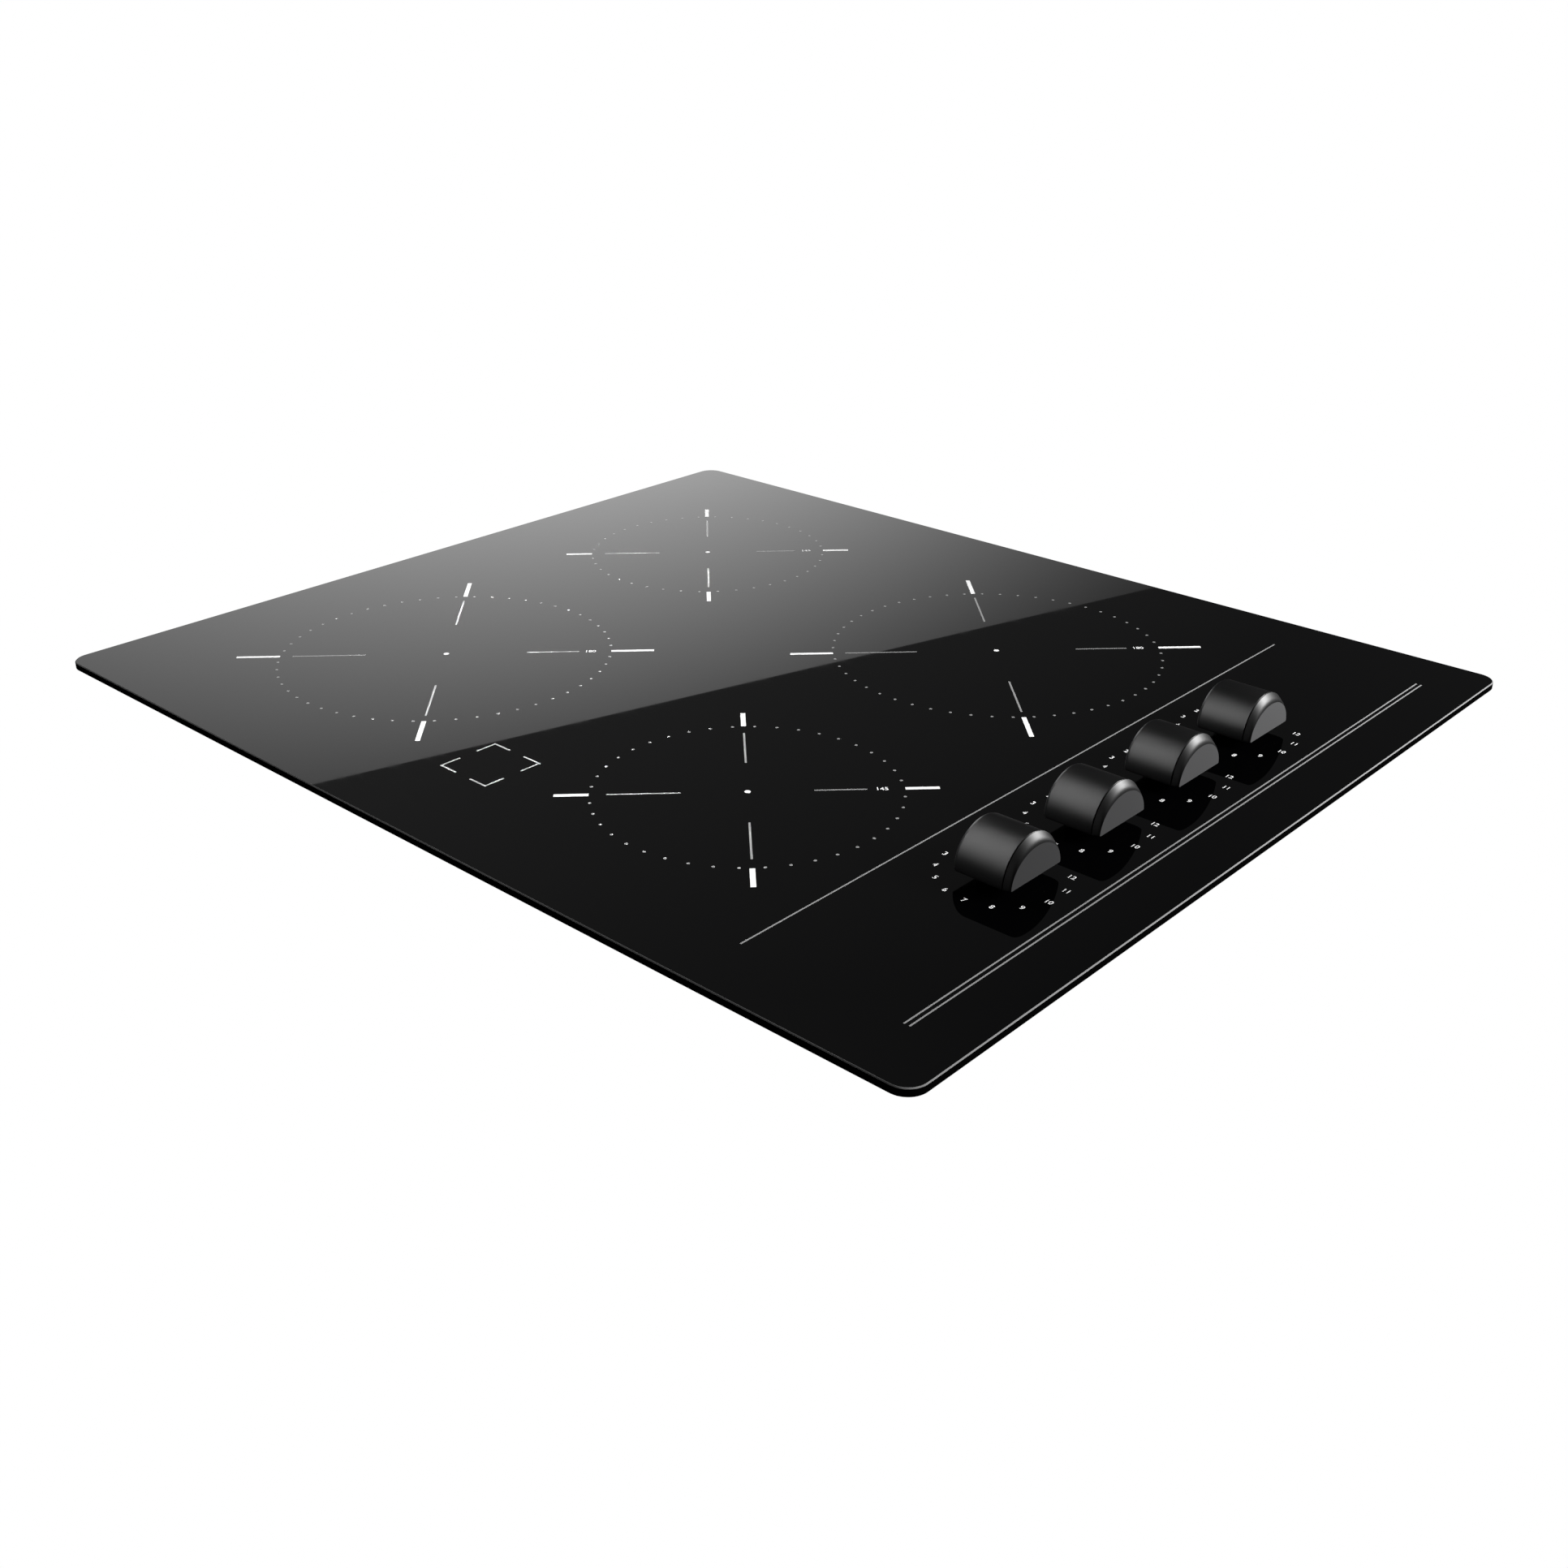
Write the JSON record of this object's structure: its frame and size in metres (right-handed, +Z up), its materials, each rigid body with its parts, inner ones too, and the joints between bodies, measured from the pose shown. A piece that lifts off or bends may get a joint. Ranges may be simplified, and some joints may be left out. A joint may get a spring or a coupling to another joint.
{
  "type": "electric induction cooktop",
  "caption": "Built-in black glass cooktop with round induction zones, half-round rotary knobs down the right side and a shallow steel tray below.",
  "frame": {"origin": "middle of the tray's flat underside, which is the middle of the object's box at its lowest height", "axes": "+X to the user's right along the long side, where the knobs are; +Y to the back; +Z up, out of the glass"},
  "size_m": [0.6, 0.51, 0.0796],
  "materials": {
    "glass_black": "polished black glass-ceramic",
    "foam_black": "closed-cell foam tape",
    "aluminium_rail": "mill-finish extrusion",
    "steel_tray": "galvanised sheet with a fine spangle",
    "steel_spring": "spring steel",
    "steel_screw": "zinc plated",
    "steel_spindle": "turned steel",
    "aluminium_sheet": "rolled sheet",
    "aluminium_heatsink": "extruded, with draw lines",
    "plastic_white": "moulded nylon",
    "plastic_cream": "moulded, heat resistant",
    "plastic_black": "moulded, fine grain",
    "fan_rotor_grey": "moulded, fine grain",
    "mica_mat": "pressed mineral fibre mat",
    "ceramic_white": "unglazed ceramic",
    "board_green": "solder mask with copper traces",
    "capacitor_blue": "shrink sleeve",
    "copper_winding": "enamelled copper strands",
    "ferrite_dark": "sintered ferrite",
    "rubber_black": "moulded silicone",
    "light_guide_clear": "milky acrylic",
    "selector_blue": "moulded",
    "knob_black": "satin black moulding",
    "knob_face_grey": "satin dark grey insert",
    "print_white": "fired white enamel print",
    "print_grey": "fired grey enamel print"
  },
  "bodies": {
    "hob": {"glass_top": "glass_black", "edge_seal": "foam_black", "glass_rails": "aluminium_rail", "bottom_tray": "steel_tray", "worktop_clips": "steel_spring", "tray_screws": "steel_screw", "coil_carrier_left": "aluminium_sheet", "coil_carrier_right": "aluminium_sheet", "carrier_posts": "plastic_white", "insulation_mat_left": "mica_mat", "insulation_mat_right": "mica_mat", "zone_sensors": "ceramic_white", "power_board_left": "board_green", "power_board_right": "board_green", "filter_board": "board_green", "heatsink_left": "aluminium_heatsink", "heatsink_right": "aluminium_heatsink", "transistors": "plastic_black", "capacitors": "capacitor_blue", "mains_choke": "copper_winding", "board_spacers": "plastic_white", "inner_screws": "steel_screw", "air_ducts": "plastic_black", "terminal_block": "plastic_white", "cable_inlet": "rubber_black", "indicator_board": "board_green", "light_guide": "light_guide_clear", "selector_bracket": "steel_tray", "selectors": "selector_blue", "selector_nuts": "steel_screw", "shaft_seals": "rubber_black", "coil_former_back_left": "plastic_cream", "coil_winding_back_left": "copper_winding", "ferrite_bars_back_left": "ferrite_dark", "coil_former_back_right": "plastic_cream", "coil_winding_back_right": "copper_winding", "ferrite_bars_back_right": "ferrite_dark", "coil_former_front_left": "plastic_cream", "coil_winding_front_left": "copper_winding", "ferrite_bars_front_left": "ferrite_dark", "coil_former_front_right": "plastic_cream", "coil_winding_front_right": "copper_winding", "ferrite_bars_front_right": "ferrite_dark", "fan_frame_left": "plastic_black", "fan_frame_right": "plastic_black"},
    "fan_left": {"fan_rotor_left": "fan_rotor_grey"},
    "fan_right": {"fan_rotor_right": "fan_rotor_grey"},
    "knob_1": {"knob_1_grip": "knob_black", "knob_1_cap": "knob_face_grey", "knob_1_spindle": "steel_spindle"},
    "knob_2": {"knob_2_grip": "knob_black", "knob_2_cap": "knob_face_grey", "knob_2_spindle": "steel_spindle"},
    "knob_3": {"knob_3_grip": "knob_black", "knob_3_cap": "knob_face_grey", "knob_3_spindle": "steel_spindle"},
    "knob_4": {"knob_4_grip": "knob_black", "knob_4_cap": "knob_face_grey", "knob_4_spindle": "steel_spindle"}
  },
  "joints": [
    {"name": "knob_1_turn", "type": "hinge", "parent": "hob", "child": "knob_1", "pos_m": [0.2292, -0.1034, 0.06], "axis": [0, 0, 1], "range_deg": [0, 306]},
    {"name": "knob_2_turn", "type": "hinge", "parent": "hob", "child": "knob_2", "pos_m": [0.2292, -0.0365, 0.06], "axis": [0, 0, 1], "range_deg": [0, 306]},
    {"name": "knob_3_turn", "type": "hinge", "parent": "hob", "child": "knob_3", "pos_m": [0.2292, 0.0304, 0.06], "axis": [0, 0, 1], "range_deg": [0, 306]},
    {"name": "knob_4_turn", "type": "hinge", "parent": "hob", "child": "knob_4", "pos_m": [0.2292, 0.0973, 0.06], "axis": [0, 0, 1], "range_deg": [0, 306]},
    {"name": "fan_left_spin", "type": "hinge", "parent": "hob", "child": "fan_left", "pos_m": [-0.153, 0.11, 0.0133], "axis": [0, 0, 1], "continuous": true},
    {"name": "fan_right_spin", "type": "hinge", "parent": "hob", "child": "fan_right", "pos_m": [0.076, 0.11, 0.0133], "axis": [0, 0, 1], "continuous": true}
  ]
}
